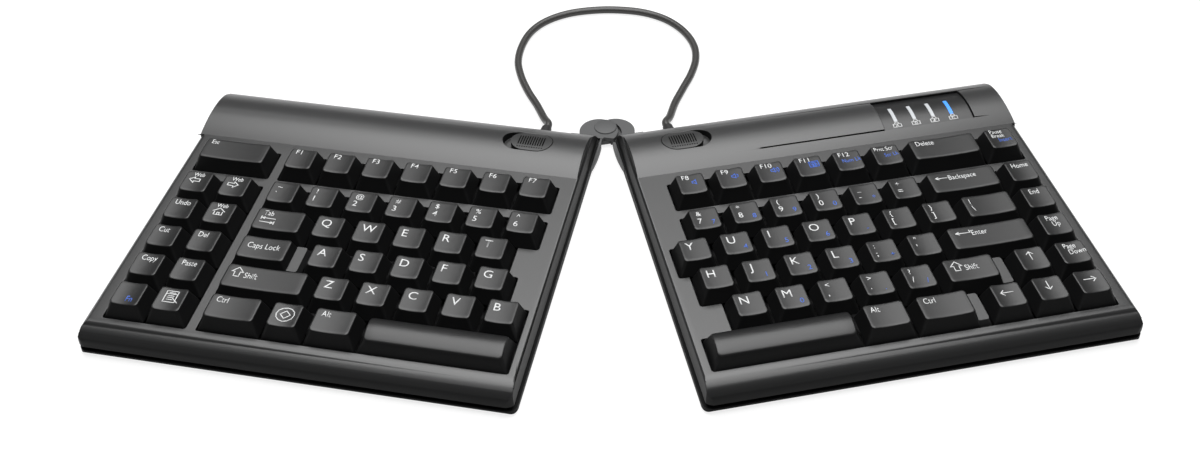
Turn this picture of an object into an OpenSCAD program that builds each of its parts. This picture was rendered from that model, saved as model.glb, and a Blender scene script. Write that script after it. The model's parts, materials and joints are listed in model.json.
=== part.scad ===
// Ergonomic split keyboard: two flat key modules with a rolled front and a rear hump,
// tied by a swivel tether at their inner rear corners and joined by a link cable.
// Each module is drawn in its own frame: x out from the inner end, y back from the front, z up.

/* [Keys] */
// Distance from one key centre to the next
pitch = 19.05; // [18.95:0.05:19.1]
// Gap between neighbouring keycaps
key_gap = 1; // [0.8:0.1:1.2]
// Height of the keycap tops above the deck
key_rise = 7; // [6.5:0.25:7.5]
// How far a key goes down
key_travel = 3.5; // [3:0.25:3.5]
// Clearance between a key stem and its guide
stem_play = 0.1; // [0.08:0.02:0.14]

/* [Case] */
// Height of the deck above the desk
deck_z = 16; // [15.75:0.25:17]
// Height of the rear hump above the deck
hump_rise = 3.9; // [3.6:0.1:4.2]
// Radius of the rear hump
hump_r = 35; // [34:0.5:36]
// Wall thickness of the cover
wall = 2.2; // [2:0.1:2.4]
// Radius of the rolled front edge
roll = 8.5; // [8:0.25:9]
// Gap between a keycap and the edge of its well
well_gap = 0.6; // [0.5:0.1:0.8]

/* [Tether] */
// Radius of the swivel discs
disc_r = 9.7; // [9.4:0.1:9.9]
// Radius of the swivel pin
pin_r = 2; // [1.75:0.05:2.25]
// Running clearance of the pin in the lower disc
pin_play = 0.06; // [0.04:0.01:0.08]
// Thickness of the lobes on the inner ends
lobe_t = 1.4; // [1.2:0.05:1.45]

/* [Release slider] */
// How far a release slider moves outwards
slide = 3.8; // [3.4:0.2:4]
// Length of the slider button
button_l = 20.4; // [20:0.2:20.8]
// Width of the slider button
button_w = 14.4; // [14:0.2:14.6]

/* [Status window] */
// Width of the status window
window_w = 46; // [45:0.5:47]
// Depth of the window below the hump
window_sink = 1.3; // [1:0.1:1.5]

/* [Cable] */
// Diameter of the link cable
cable_d = 4; // [3.6:0.1:4.2]

/* [Feet and screws] */
// Diameter of a rubber foot
foot_d = 10; // [9:0.5:11]
// Height of the case above the desk
base_z = 1; // [0.8:0.1:1.2]

/* [Hidden] */
$fn = 64;
half_splay = 11.65;
seam_z = 6;
floor_z = base_z + 2;
left_in = 8.6;
front_in = 9.775;
f_gap = 0.3;
outer_in = 10.4;
case_w = 9.25 * pitch + left_in + outer_in;
right_in = case_w - 9 * pitch - 9.75;
taper = 0.63;
nose_r = 2.4;
corner_in = 5;
corner_front = 4.5;
corner_rear = 5;
corner_back = 2.6;
side_lean = 2.3;
hump_lean = 1.2;
end_flare = 1.2;
edge_r = 3;
ledge = 0.9;

// key stack, from the ribs up
rib_z = seam_z + 0.2;
plate_t = 0.8;
film_t = 0.4;
sheet_t = 0.6;
frame_t = 1.6;
film_z = rib_z + plate_t;
sheet_z = film_z + film_t;
frame_z = sheet_z + sheet_t;
stem_z = frame_z + key_travel + 0.1;
guide_z = stem_z + 0.2;
barrel_top = guide_z + 1.6;
skirt_z = deck_z - 0.7;
key_z = deck_z + key_rise;
dish = 0.9;
roof_z = key_z - dish - 1.5;
stem_w = 5;
post_w = 4;
barrel_r = 6.7;
dome_r = 4.8;
stack_x0 = 3.4;
stack_x1 = case_w - 7.7;
stack_y0 = front_in + 0.6;

function row_y(r) = front_in + (5.5 - r) * pitch + (r == 0 ? f_gap * pitch : 0);
stack_y1 = row_y(0) + pitch / 2 + 1.6;
hump_y = row_y(0) + 33.43;
hump_top = deck_z + hump_rise;
hump_z = hump_top - hump_r;
case_d = hump_y + sqrt(pow(hump_r, 2) - pow(seam_z - hump_z, 2));
deck_w = case_w - side_lean;
hump_run = sqrt(pow(hump_r, 2) - pow(deck_z - hump_z, 2));
cave_x0 = ledge + 1.8;
cave_x1 = deck_w - 2.6 - case_d * sin(taper);

// tether
closed_half = 1.9;
pivot_back = 9.4;
pin_spot = [-closed_half, case_d + pivot_back];
disc_out = 3.5;
disc_in = 3.6;
disc_turn = 30;
sweep_play = 0.3;
corner_play = 1.2;
plate_z = 1.8;
arm_top = seam_z;
disc_mid = (plate_z + arm_top) / 2;
disc_play = 0.05;
wall_play = 0.2;
tongue_x0 = 4.5;
tongue_x1 = 15;
tongue_l = 13;
tongue_z = 4;
tongue_play = 0.15;
lobe_l = 29;
lobe_y = case_d - 8.5;
lobe_play = 0.3;
lobe_bottom = 2.2;
lobe_r = (pow(lobe_l / 2, 2) + pow(lobe_t, 2)) / (2 * lobe_t);

// release slider
recess_x0 = 18;
button_play = 0.2;
recess_l = button_l + slide + 2 * button_play;
recess_w = button_w + 2 * button_play;
slider_y = hump_y + 3.6;
recess_z = hump_top - 4.5;
cup_t = 1.8;
stem_x0 = recess_x0 + 4;
stem_x1 = stem_x0 + 6;
latch_x0 = tongue_x1 - 3.3;
latch_y0 = case_d - 10;
latch_y1 = latch_y0 + 3.5;
arm_z0 = 6.8;
arm_z1 = 8.4;
spring_t = 0.5;
spring_l = 7;
spring_y = slider_y - 1.5;
stop_x = stem_x1 + 10;

// status window, light pipes
window_x0 = case_w - 22.7 - window_w;
window_y0 = hump_y - 10.3;
window_y1 = hump_y + 13.3;
panel_t = 1.2;
pipe_w = 1.8;
pipe_l = 10.4;
pipe_y = hump_y + 0.2;
pipe_step = 9.6;
pipe_x0 = window_x0 + 7.3;
led_z = 7.9;

// grommets, link cable
cable_r = cable_d / 2;
grommet_x = 28.3;
grommet_z = 4.2;
grommet_l = 5;
grommet_r = 2.55;
gland_x = 100;
gland_deep = 3.8;
rear_proud = 0.3;

// boards
board_z = floor_z + 1.6;
board_t = 1.6;
link_board = [70, 112];
lit_board_w = 67;
lit_board_edge = 9.4;

// screws and feet: places in the module frame
screw_r = 1.25;
screw_spots = [[20, 6.2], [case_w / 2, 6.2], [case_w - 14, 6.2],
    [60, hump_y + 14.3], [120, hump_y + 14.3], [case_w - 15, hump_y + 14.3]];
foot_spots = [[14, 18], [case_w - 20, 18], [14, hump_y - 8], [case_w - 20, hump_y - 8], [case_w / 2, 80]];
foot_sink = 0.8;

// the pair's place in the shared frame: the swivel pin stands on the line of symmetry
front_reach = sin(half_splay) * (corner_in - end_flare + closed_half)
    + cos(half_splay) * (corner_in - case_d - pivot_back) - corner_in;
rear_x = case_w - corner_front + (corner_front - corner_rear
    - (case_d - corner_rear - corner_front) * sin(taper)) / cos(taper);
rear_reach = sin(half_splay) * (rear_x + closed_half)
    - cos(half_splay) * (corner_rear + pivot_back) + corner_rear;
pivot_y = -(front_reach + rear_reach) / 2;

// route of the link cable, measured from the swivel pin: [x, y, z], left half then right half
cable_route = [[-32, 12, 3], [-36, 24, 2.1], [-41, 36, 2.1], [-45, 49, 2.1], [-47, 62, 2.1],
    [-45.5, 76, 2.1], [-41, 89, 2.1], [-33, 99, 2.1], [-21, 106, 2.1], [-7, 109, 2.1], [7, 109, 2.1],
    [21, 106, 2.1], [33, 99, 2.1], [42, 88, 2.1], [47, 75, 2.1], [47.5, 62, 2.1], [44.5, 49, 2.1],
    [39.5, 36, 2.1], [35, 24, 2.1], [32, 12, 3]];
cable_sides = 12;
cable_steps = 2;

// keys: [x, y, width in units, style], style 1 steps down inwards, 2 outwards, 3 is a space bar
function lk(c, r, w, s = 0) = [(7 - c) * pitch + left_in, row_y(r), w, s];
function rk(c, r, w, s = 0) = [(c - 7) * pitch + right_in, row_y(r), w, s];
K_ESC = [lk(-1.25, 0, 2)];
K_LFUN = [for (i = [0:6]) lk(0.5 + i, 0, 1)];
K_HOT = [for (r = [1:5], c = [-1.75, -0.75]) lk(c, r, 1)];
K_LNUM = [for (i = [0:6]) lk(0.5 + i, 1, 1)];
K_TAB = [lk(0.75, 2, 1.5)];
K_LUPP = [for (i = [0:4]) lk(2 + i, 2, 1)];
K_CAPS = [lk(0.875, 3, 1.75, 1)];
K_LHOM = [for (i = [0:4]) lk(2.25 + i, 3, 1)];
K_LSHF = [lk(1.125, 4, 2.25)];
K_LLOW = [for (i = [0:4]) lk(2.75 + i, 4, 1)];
K_LCTL = [lk(0.75, 5, 1.5)];
K_SUP = [lk(2, 5, 1)];
K_LALT = [lk(3.125, 5, 1.25)];
K_LSPC = [lk(5.5, 5, 3.5, 3)];
K_RFUN = concat([for (i = [0:5]) rk(7.5 + i, 0, 1)], [rk(15.5, 0, 1)]);
K_DEL = [rk(14, 0, 2)];
K_RNUM = [for (i = [0:5]) rk(7.5 + i, 1, 1)];
K_BACK = [rk(14, 1, 2)];
K_NAV = [for (r = [1:4]) rk(15.5, r, 1)];
K_RUPP = [for (i = [0:6]) rk(7 + i, 2, 1)];
K_BSL = [rk(14.25, 2, 1.5)];
K_RHOM = [for (i = [0:5]) rk(7.25 + i, 3, 1)];
K_ENT = [rk(13.875, 3, 2.25)];
K_RLOW = [for (i = [0:4]) rk(7.75 + i, 4, 1)];
K_RSHF = [rk(13.125, 4, 1.75, 2)];
K_ARR = [rk(14.5, 4, 1), rk(13.5, 5, 1), rk(14.5, 5, 1), rk(15.5, 5, 1)];
K_RSPC = [rk(8.25, 5, 3.5, 3)];
K_RALT = [rk(10.625, 5, 1.25)];
K_RCTL = [rk(12.125, 5, 1.75, 2)];
LEFT_KEYS = concat(K_ESC, K_LFUN, K_HOT, K_LNUM, K_TAB, K_LUPP, K_CAPS, K_LHOM, K_LSHF, K_LLOW,
    K_LCTL, K_SUP, K_LALT, K_LSPC);
RIGHT_KEYS = concat(K_RFUN, K_DEL, K_RNUM, K_BACK, K_NAV, K_RUPP, K_BSL, K_RHOM, K_ENT, K_RLOW,
    K_RSHF, K_ARR, K_RSPC, K_RALT, K_RCTL);
LEFT_WELLS = [[K_ESC], [K_LFUN], [K_HOT], [K_LNUM, concat(K_TAB, K_LUPP), concat(K_CAPS, K_LHOM),
    concat(K_LSHF, K_LLOW), concat(K_LCTL, K_SUP, K_LALT, K_LSPC)]];
RIGHT_WELLS = [[concat(K_RFUN, K_DEL)], [concat(K_RNUM, K_BACK, [K_NAV[0]]),
    concat(K_RUPP, K_BSL, [K_NAV[1]]), concat(K_RHOM, K_ENT, [K_NAV[2]]),
    concat(K_RLOW, K_RSHF, [K_ARR[0], K_NAV[3]]),
    concat(K_RSPC, K_RALT, K_RCTL, [K_ARR[1], K_ARR[2], K_ARR[3]])]];

// points on an arc, and outlines built from arcs
function arc(x, y, r, a0, a1, n = 8) =
    [for (i = [0:n]) let (a = a0 + (a1 - a0) * i / n) [x + r * cos(a), y + r * sin(a)]];
function plan_outline(cut = 0) = concat(
    arc(corner_in - end_flare, corner_in, corner_in - cut, 180, 270),
    arc(case_w - corner_front, corner_front, corner_front - cut, 270, 360 + taper),
    arc(rear_x, case_d - corner_rear, corner_rear - cut, taper, 90),
    arc(corner_back, case_d - corner_back, corner_back - cut, 90, 180, 4));
function stadium(x0, l, y, w, n = 12) = concat(
    arc(x0 + w / 2, y, w / 2, 90, 270, n), arc(x0 + l - w / 2, y, w / 2, -90, 90, n));
function key_xmin(row) = min([for (k = row) k[0] - k[2] * pitch / 2]) + key_gap / 2 - well_gap;
function key_xmax(row) = max([for (k = row) k[0] + k[2] * pitch / 2]) - key_gap / 2 + well_gap;
function key_ymin(row) = min([for (k = row) k[1]]) - pitch / 2 + key_gap / 2 - well_gap;
function key_ymax(row) = max([for (k = row) k[1]]) + pitch / 2 - key_gap / 2 + well_gap;

// places a module's pieces in the shared frame
module right_place() {
    translate([0, pivot_y, 0]) rotate([0, 0, half_splay])
        translate([closed_half, -case_d - pivot_back, 0]) children();
}
module left_place() { mirror([1, 0, 0]) right_place() children(); }
// extrudes an outline drawn in (y, z) along x, or one drawn in (x, z) along y
module along_x(x0, x1) { translate([x0, 0, 0]) rotate([90, 0, 90]) linear_extrude(x1 - x0) children(); }
module along_y(y0, y1) { translate([0, y1, 0]) rotate([90, 0, 0]) linear_extrude(y1 - y0) children(); }
module box(x0, x1, y0, y1, z0, z1) { translate([x0, y0, z0]) cube([x1 - x0, y1 - y0, z1 - z0]); }
module drum(r, x0, x1) { along_x(x0, x1) polygon(arc(hump_y, hump_z, r, 0, 180, 60)); }
module post(x, y, z0, z1, r) { translate([x, y, z0]) cylinder(r = r, h = z1 - z0); }
module neck(x, play, y1) {
    box(x - grommet_r - play, x + grommet_r + play, case_d - 4, y1,
        grommet_z - grommet_r - play, grommet_z + grommet_r + play);
}
module tapered_side() {
    translate([case_w, 0, 0]) rotate([0, 0, taper]) translate([-case_w, 0, 0]) children();
}
module flared_end() {
    translate([0, case_d, 0]) rotate([0, 0, -atan(end_flare / case_d)]) translate([0, -case_d, 0]) children();
}

// cover: one profile from the rolled front over the deck and the hump, trimmed at the ends, hollow below
function reach_angle(r, z) = asin((z - hump_z) / r);
module cover_shell() {
    inner_r = hump_r - wall;
    rear_a = reach_angle(hump_r, seam_z + 0.15);
    deck_a = reach_angle(inner_r, deck_z - wall);
    difference() {
        intersection() {
            linear_extrude(hump_top + 1) polygon(plan_outline());
            along_x(-5, case_w + 1) polygon(concat([[0.03, seam_z]],
                arc(roll + 0.03, deck_z - roll, roll, 180, 90),
                arc(hump_y, hump_z, hump_r, 180 - reach_angle(hump_r, deck_z), rear_a, 32),
                [[hump_y + hump_r * cos(rear_a), seam_z]]));
            flared_end() along_y(-20, case_d + 20) polygon([[ledge, seam_z - 1], [case_w + 9, seam_z - 1],
                [case_w + 9, hump_top + 1], [ledge + 1, hump_top + 1], [ledge + 1, deck_z],
                [ledge + 0.3, deck_z - 0.8]]);
            tapered_side() along_y(-20, case_d + 20) polygon([[-20, hump_top + 1], [-20, seam_z - 1],
                [case_w - 0.3, seam_z - 1], [deck_w, deck_z - edge_r], [deck_w, deck_z],
                [deck_w - hump_lean, hump_top + 1]]);
        }
        tapered_side() along_y(-20, hump_y - hump_run - 0.4) polygon(concat(
            arc(deck_w - edge_r, deck_z - edge_r, edge_r, 8, 90, 5), [[deck_w - edge_r, deck_z + 5],
            [deck_w + 5, deck_z + 5], [deck_w + 5, deck_z - edge_r * (1 - sin(8))]]));
        along_x(cave_x0 + 0.4, cave_x1) polygon(concat([[wall, seam_z - 1]],
            arc(roll, deck_z - roll, roll - wall, 180, 90, 5),
            arc(hump_y, hump_z, inner_r, 180 - deck_a, reach_angle(inner_r, seam_z - 1), 32)));
    }
}
module wells(list) {
    for (w = list) translate([0, 0, deck_z - wall - 1]) linear_extrude(wall + 2)
        offset(r = 1.2, $fn = 24) offset(delta = -1.2) for (row = w)
            translate([key_xmin(row), key_ymin(row)])
                square([key_xmax(row) - key_xmin(row), key_ymax(row) - key_ymin(row)]);
}
module window_box(grow, z0) {
    box(window_x0 - grow, window_x0 + window_w + grow, window_y0 - grow, window_y1 + grow, z0, hump_top + 2);
}
module pipe_slots(play) {
    w = pipe_w / 2 + play;
    l = pipe_l / 2 + play;
    for (i = [0:3]) translate([pipe_x0 + i * pipe_step, pipe_y, 0])
        box(-w, w, -l, l, led_z + 0.1, hump_top + 1);
}
module top_cover(list, lit) {
    difference() {
        union() {
            cover_shell();
            intersection() {
                translate([0, 0, recess_z - cup_t]) linear_extrude(20)
                    polygon(stadium(recess_x0 - cup_t, recess_l + 2 * cup_t, slider_y, recess_w + 2 * cup_t));
                drum(hump_r - 0.5, 0, case_w);
            }
            for (s = screw_spots) intersection() {
                post(s[0], s[1], seam_z, hump_top, 2.6);
                union() {
                    drum(hump_r - 0.5, 0, case_w);
                    box(0, case_w, 0, hump_y - hump_r / 2, 0, deck_z - roll + 4);
                }
            }
            if (lit) intersection() {
                window_box(1.5, seam_z);
                difference() { drum(hump_r - 0.5, 0, case_w); drum(hump_r - 4, 0, case_w); }
            }
        }
        wells(list);
        translate([0, 0, recess_z]) linear_extrude(20)
            polygon(stadium(recess_x0, recess_l, slider_y, recess_w));
        box(stem_x0 - 0.3, stem_x1 + slide + 0.3, slider_y - 2.8, slider_y + 2.8, 5, hump_top);
        for (s = screw_spots) post(s[0], s[1], seam_z - 1, 11.2, screw_r + 0.05);
        neck(grommet_x, 0.05, case_d + 1);
        if (lit) {
            difference() { window_box(0, deck_z - 2); drum(hump_r - window_sink - panel_t, 0, case_w); }
            pipe_slots(0.05);
            neck(gland_x, 0.05, case_d + 1);
        }
    }
}

// lower case: a tub with ribs under the key stack, screw bosses, and a slot for the tether
module bottom_case(lit) {
    difference() {
        union() {
            intersection() {
                translate([0, 0, base_z]) linear_extrude(seam_z - base_z) polygon(plan_outline());
                along_x(-5, case_w + 1) polygon(concat([[case_d + 1, seam_z]],
                    arc(nose_r, base_z + nose_r, nose_r, 180, 270),
                    [[case_d - 1, base_z], [case_d + 1, base_z + 2]]));
                difference() {
                    box(-5, case_w + 1, -1, case_d + 1, 0, seam_z);
                    translate([0, 0, floor_z]) linear_extrude(10) polygon(plan_outline(wall));
                }
            }
            for (y = concat([stack_y0 + 1, stack_y1 - 3], [for (r = [2:4]) row_y(r) + pitch / 2]))
                box(stack_x0, stack_x1, y, y + 2, floor_z - 1, rib_z);
            for (s = screw_spots) post(s[0], s[1], base_z, seam_z, 3.8);
            box(stop_x, stop_x + 2, spring_y - 1, spring_y + spring_l + 1, floor_z - 1, arm_z1 + 0.2);
            for (p = board_posts(lit)) post(p[0], p[1], floor_z - 1, board_z, 2);
        }
        for (s = screw_spots) {
            post(s[0], s[1], 0, 3.2, 2.75);
            post(s[0], s[1], 0, 20, screw_r + 0.1);
        }
        for (f = foot_spots) post(f[0], f[1], 0, base_z + foot_sink, foot_d / 2 + 0.1);
        box(tongue_x0 - tongue_play, tongue_x1 + tongue_play, case_d - wall - 1, case_d + 1,
            tongue_z - tongue_play, seam_z + 1);
        neck(grommet_x, 0.05, case_d + 1);
        if (lit) neck(gland_x, 0.05, case_d + 1);
    }
}
function board_x(lit) = let (end = pipe_x0 + 3 * pipe_step + lit_board_edge)
    lit ? [end - lit_board_w, end] : link_board;
function board_posts(lit) = [for (x = board_x(lit) + [3, -3], y = [hump_y - 10, hump_y + 7]) [x, y]];

// key stack: steel plate, membrane, dome sheet and the frame that guides the stems
module stack_sheet(z, t) { box(stack_x0, stack_x1, stack_y0, stack_y1, z, z + t); }
function key_posts(k) = k[2] >= 2 ? [k[0] - k[2] * pitch / 2 + 9.5, k[0] + k[2] * pitch / 2 - 9.5] : [];
module dome_sheet(keys) {
    difference() {
        union() {
            stack_sheet(sheet_z, sheet_t);
            for (k = keys) translate([k[0], k[1], frame_z - 0.1])
                cylinder(r1 = dome_r, r2 = dome_r - 2.2, h = stem_z - 0.05 - frame_z + 0.1);
        }
        for (k = keys) translate([k[0], k[1], sheet_z - 0.1])
            cylinder(r1 = dome_r - 0.7, r2 = 1.4, h = stem_z - 0.9 - sheet_z);
    }
}
module key_frame(keys) {
    difference() {
        union() {
            stack_sheet(frame_z, frame_t);
            for (k = keys) {
                post(k[0], k[1], frame_z, barrel_top, barrel_r);
                for (x = key_posts(k)) box(x - 3.4, x + 3.4, k[1] - 3.4, k[1] + 3.4, frame_z, barrel_top);
            }
        }
        for (k = keys) {
            post(k[0], k[1], frame_z - 1, guide_z, barrel_r - 1);
            guide_hole(k[0], k[1], stem_w);
            for (x = key_posts(k)) guide_hole(x, k[1], post_w);
        }
    }
}
module guide_hole(x, y, w) {
    h = w / 2 + stem_play;
    box(x - h, x + h, y - h, y + h, frame_z - 1, barrel_top + 1);
}

// keycaps: sloped sides, dished top, hollow, with a square stem and posts on wide keys
module cap_block(w, z1, side, front, back, cut = 0, low = 0) {
    d = pitch - key_gap;
    intersection() {
        along_y(-d, d) polygon([[-w / 2 + cut, skirt_z - low], [w / 2 - cut, skirt_z - low],
            [w / 2 - side, z1], [-w / 2 + side, z1]]);
        along_x(-w, w) polygon([[-d / 2 + cut, skirt_z - low], [d / 2 - cut, skirt_z - low],
            [d / 2 - back, z1], [-d / 2 + front, z1]]);
    }
}
module key(k) {
    w = k[2] * pitch - key_gap;
    s = k[3];
    step = (s == 1 || s == 2) ? pitch / 4 : 0;
    wm = w - step;
    xm = s == 1 ? step / 2 : -step / 2;
    half = wm / 2 - 2.7 - 0.3;
    dish_r = (half * half + dish * dish) / (2 * dish);
    translate([k[0], k[1], 0]) {
        difference() {
            union() {
                translate([xm, 0, 0]) if (s == 3) intersection() {
                    cap_block(wm, key_z, 2.7, 2.75, 1.75);
                    translate([-wm, 0.5, key_z - 12.5]) rotate([0, 90, 0]) cylinder(r = 12.5, h = 2 * wm);
                } else difference() {
                    cap_block(wm, key_z, 2.7, 2.75, 1.75);
                    translate([0, pitch, key_z - dish + dish_r]) rotate([90, 0, 0])
                        cylinder(r = dish_r, h = 2 * pitch, $fn = 720);
                }
                if (step > 0) cap_block(w, deck_z + 2.5, 0.9, 1.3, 0.9);
            }
            translate([xm, 0, 0]) cap_block(wm, s == 3 ? roof_z - 1 : roof_z, 3.6, 3.8, 2.8, 1.3, 0.1);
            if (step > 0) cap_block(w, deck_z + 1, 2, 2.2, 2, 1.3, 0.1);
        }
        box(-stem_w / 2, stem_w / 2, -stem_w / 2, stem_w / 2, stem_z, roof_z - (s == 3 ? 0.5 : -0.5));
        for (x = key_posts(k)) box(x - k[0] - post_w / 2, x - k[0] + post_w / 2, -post_w / 2, post_w / 2,
            stem_z, roof_z - (s == 3 ? 0.5 : -0.5));
    }
}
module keys(list) { for (k = list) key(k); }

// release slider: button in the hump's recess, stem, and a latch that drops into the tongue's notch
module release_slider() {
    intersection() {
        translate([0, 0, recess_z + 0.1]) linear_extrude(20)
            polygon(stadium(recess_x0 + button_play, button_l, slider_y, button_w));
        drum(hump_r, 0, case_w);
    }
    box(stem_x0, stem_x1, slider_y - 2.5, slider_y + 2.5, arm_z0, recess_z + 0.5);
    box(stem_x0, stem_x1, slider_y - 2.5, latch_y1, arm_z0, arm_z1);
    box(latch_x0, stem_x1, latch_y0, latch_y1, arm_z0, arm_z1);
    box(latch_x0, tongue_x1 - 0.1, latch_y0, latch_y1, tongue_z + 0.2, arm_z1);
}
module slider_spring() {
    gap = stop_x - stem_x1;
    translate([0, 0, arm_z0 + 0.1]) linear_extrude(arm_z1 - arm_z0 - 0.2) difference() {
        union() {
            translate([stem_x1, spring_y]) square([gap, spring_l]);
            translate([stem_x1 + gap / 2, spring_y + spring_l]) circle(r = gap / 2);
        }
        translate([stem_x1 + spring_t, spring_y - 1]) square([gap - 2 * spring_t, spring_l + 1]);
        translate([stem_x1 + gap / 2, spring_y + spring_l]) circle(r = gap / 2 - spring_t);
    }
}

// swivel tether: an arm wraps each inner rear corner, and the arms' discs overlap on one pin
module disc_plan() {
    intersection() {
        translate(pin_spot + [disc_out, -disc_in]) circle(r = disc_r);
        union() {
            translate([-closed_half, case_d + wall_play]) square(4 * disc_r);
            translate([-2 * disc_r, case_d + corner_play]) square(4 * disc_r);
        }
    }
}
// the room that the other arm's disc sweeps as the modules turn
module disc_sweep(z0, z1) {
    translate([0, 0, z0]) linear_extrude(z1 - z0) for (a = [0:10:disc_turn])
        translate(pin_spot) rotate(-a) translate([-disc_out, -disc_in]) circle(r = disc_r + sweep_play);
}
module tether_arm(upper) {
    lobe_a = asin(lobe_l / 2 / lobe_r);
    difference() {
        union() {
            translate([0, 0, plate_z]) linear_extrude(arm_top - plate_z) disc_plan();
            box(tongue_x0, tongue_x1, case_d - tongue_l, case_d + 2, tongue_z, arm_top);
            translate([0, 0, lobe_bottom]) linear_extrude(arm_top - 0.2 - lobe_bottom)
                polygon(arc(lobe_r - lobe_t - lobe_play, lobe_y, lobe_r, 180 - lobe_a, 180 + lobe_a, 12));
            box(-lobe_play - lobe_t / 2, 4, case_d + wall_play, case_d + 3, lobe_bottom, arm_top - 0.2);
        }
        box(latch_x0 - 0.2, tongue_x1 + 1, latch_y0 - 0.3, latch_y1 + 0.3, tongue_z - 1, arm_top + 1);
        if (upper) {
            disc_sweep(plate_z - 1, disc_mid + disc_play);
            post(pin_spot[0], pin_spot[1], plate_z - 1, arm_top - 0.8, pin_r + 0.01);
        } else {
            disc_sweep(disc_mid - disc_play, arm_top + 1);
            post(pin_spot[0], pin_spot[1], plate_z - 1, arm_top + 1, pin_r + pin_play);
        }
    }
}
module pivot_pin() {
    post(pin_spot[0], pin_spot[1], plate_z - 0.7, plate_z - 0.05, pin_r + 1.5);
    post(pin_spot[0], pin_spot[1], plate_z - 0.1, arm_top - 0.85, pin_r);
}

// strain relief of the link cable, and the gland for the host cable, which lies flush in the rear wall
module strain_relief() {
    neck(grommet_x, 0, case_d + rear_proud);
    translate([grommet_x, case_d + 0.05, grommet_z]) rotate([-90, 0, 0])
        cylinder(r1 = 3.1, r2 = cable_r + 0.5, h = grommet_l - 0.05);
}
module gland() {
    difference() {
        neck(gland_x, 0, case_d + rear_proud);
        translate([gland_x, case_d + rear_proud - gland_deep, grommet_z]) rotate([-90, 0, 0])
            cylinder(r = cable_r - 0.2, h = gland_deep + 1);
    }
}
// link cable: one tube swept along a smooth curve through the route
function lead(side, d) = let (u = grommet_x + closed_half, v = grommet_l + d - pivot_back,
    x = cos(half_splay) * u - sin(half_splay) * v,
    y = sin(half_splay) * u + cos(half_splay) * v) [side * x, y, grommet_z];
cable_points = concat([lead(-1, 0), lead(-1, 4)], cable_route, [lead(1, 4), lead(1, 0)]);
function spline(p0, p1, p2, p3, t) = 0.5 * (2 * p1 + (p2 - p0) * t + (2 * p0 - 5 * p1 + 4 * p2 - p3) * t * t
    + (3 * p1 - p0 - 3 * p2 + p3) * t * t * t);
function cable_at(i, t) = let (n = len(cable_points) - 1, p = cable_points)
    spline(p[max(i - 1, 0)], p[i], p[min(i + 1, n)], p[min(i + 2, n)], t);
function cable_path() = concat(
    [for (i = [0:len(cable_points) - 2], j = [0:cable_steps - 1]) cable_at(i, j / cable_steps)],
    [cable_points[len(cable_points) - 1]]);
module swept_tube(path, r, sides) {
    n = len(path) - 1;
    dir = [for (i = [0:n]) let (d = path[min(i + 1, n)] - path[max(i - 1, 0)]) d / norm(d)];
    tan_at = [for (i = [0:n]) i == 0 ? [sin(half_splay), cos(half_splay), 0]
        : i == n ? [sin(half_splay), -cos(half_splay), 0] : dir[i]];
    points = [for (i = [0:n], j = [0:sides - 1]) let (t = tan_at[i], a = 360 * j / sides,
        s = cross([0, 0, 1], t) / norm(cross([0, 0, 1], t)), u = cross(t, s))
        path[i] + r * (cos(a) * s + sin(a) * u)];
    faces = concat([[for (j = [0:sides - 1]) j]],
        [for (i = [0:n - 1], j = [0:sides - 1]) let (k = (j + 1) % sides)
            [i * sides + j, (i + 1) * sides + j, (i + 1) * sides + k, i * sides + k]],
        [[for (j = [sides - 1:-1:0]) n * sides + j]]);
    polyhedron(points, faces);
}

// boards: the link connector on the left, the controller with its lights on the right
module board(lit) {
    bx = board_x(lit);
    box(bx[0], bx[1], hump_y - 13, hump_y + 10, board_z, board_z + board_t);
    if (lit) {
        for (i = [0:3]) translate([pipe_x0 + i * pipe_step, pipe_y, 0])
            box(-1.2, 1.2, -1.6, 1.6, board_z + board_t, led_z);
        box(bx[0] + 4, bx[0] + 14, hump_y - 9, hump_y + 1, board_z + board_t, board_z + board_t + 1.4);
    } else {
        box(bx[0] + 6, bx[0] + 30, hump_y - 10, hump_y - 5, board_z + board_t, board_z + board_t + 3);
        box(bx[0] + 2, bx[0] + 8, hump_y + 1, hump_y + 7, board_z + board_t, board_z + board_t + 3.5);
    }
}
module case_screws() {
    for (s = screw_spots) {
        post(s[0], s[1], 1.7, 3.2, 2.5);
        post(s[0], s[1], 3.1, 11, screw_r);
    }
}
module rubber_feet() { for (f = foot_spots) post(f[0], f[1], 0, base_z + foot_sink, foot_d / 2); }

module left_top_cover() { color("dimgray") left_place() top_cover(LEFT_WELLS, false); }
module left_bottom_case() { color("#3a3b3d") left_place() bottom_case(false); }
module left_key_frame() { color("#222326") left_place() key_frame(LEFT_KEYS); }
module left_dome_sheet() { color("#c9ccd0") left_place() dome_sheet(LEFT_KEYS); }
module left_membrane() { color("#b9d0c4") left_place() stack_sheet(film_z, film_t); }
module left_backing_plate() { color("#9aa0a6") left_place() stack_sheet(rib_z, plate_t); }
module left_connector_board() { color("#1f6b3a") left_place() board(false); }
module left_release_slider() { color("#55575a") left_place() release_slider(); }
module left_slider_spring() { color("#b8bcc2") left_place() slider_spring(); }
module left_rubber_feet() { color("#151515") left_place() rubber_feet(); }
module left_case_screws() { color("#8d9096") left_place() case_screws(); }
module left_cable_grommet() { color("#2a2a2c") left_place() strain_relief(); }
module right_top_cover() { color("dimgray") right_place() top_cover(RIGHT_WELLS, true); }
module right_bottom_case() { color("#3a3b3d") right_place() bottom_case(true); }
module right_key_frame() { color("#222326") right_place() key_frame(RIGHT_KEYS); }
module right_dome_sheet() { color("#c9ccd0") right_place() dome_sheet(RIGHT_KEYS); }
module right_membrane() { color("#b9d0c4") right_place() stack_sheet(film_z, film_t); }
module right_backing_plate() { color("#9aa0a6") right_place() stack_sheet(rib_z, plate_t); }
module right_controller_board() { color("#1f6b3a") right_place() board(true); }
module right_release_slider() { color("#55575a") right_place() release_slider(); }
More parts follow.
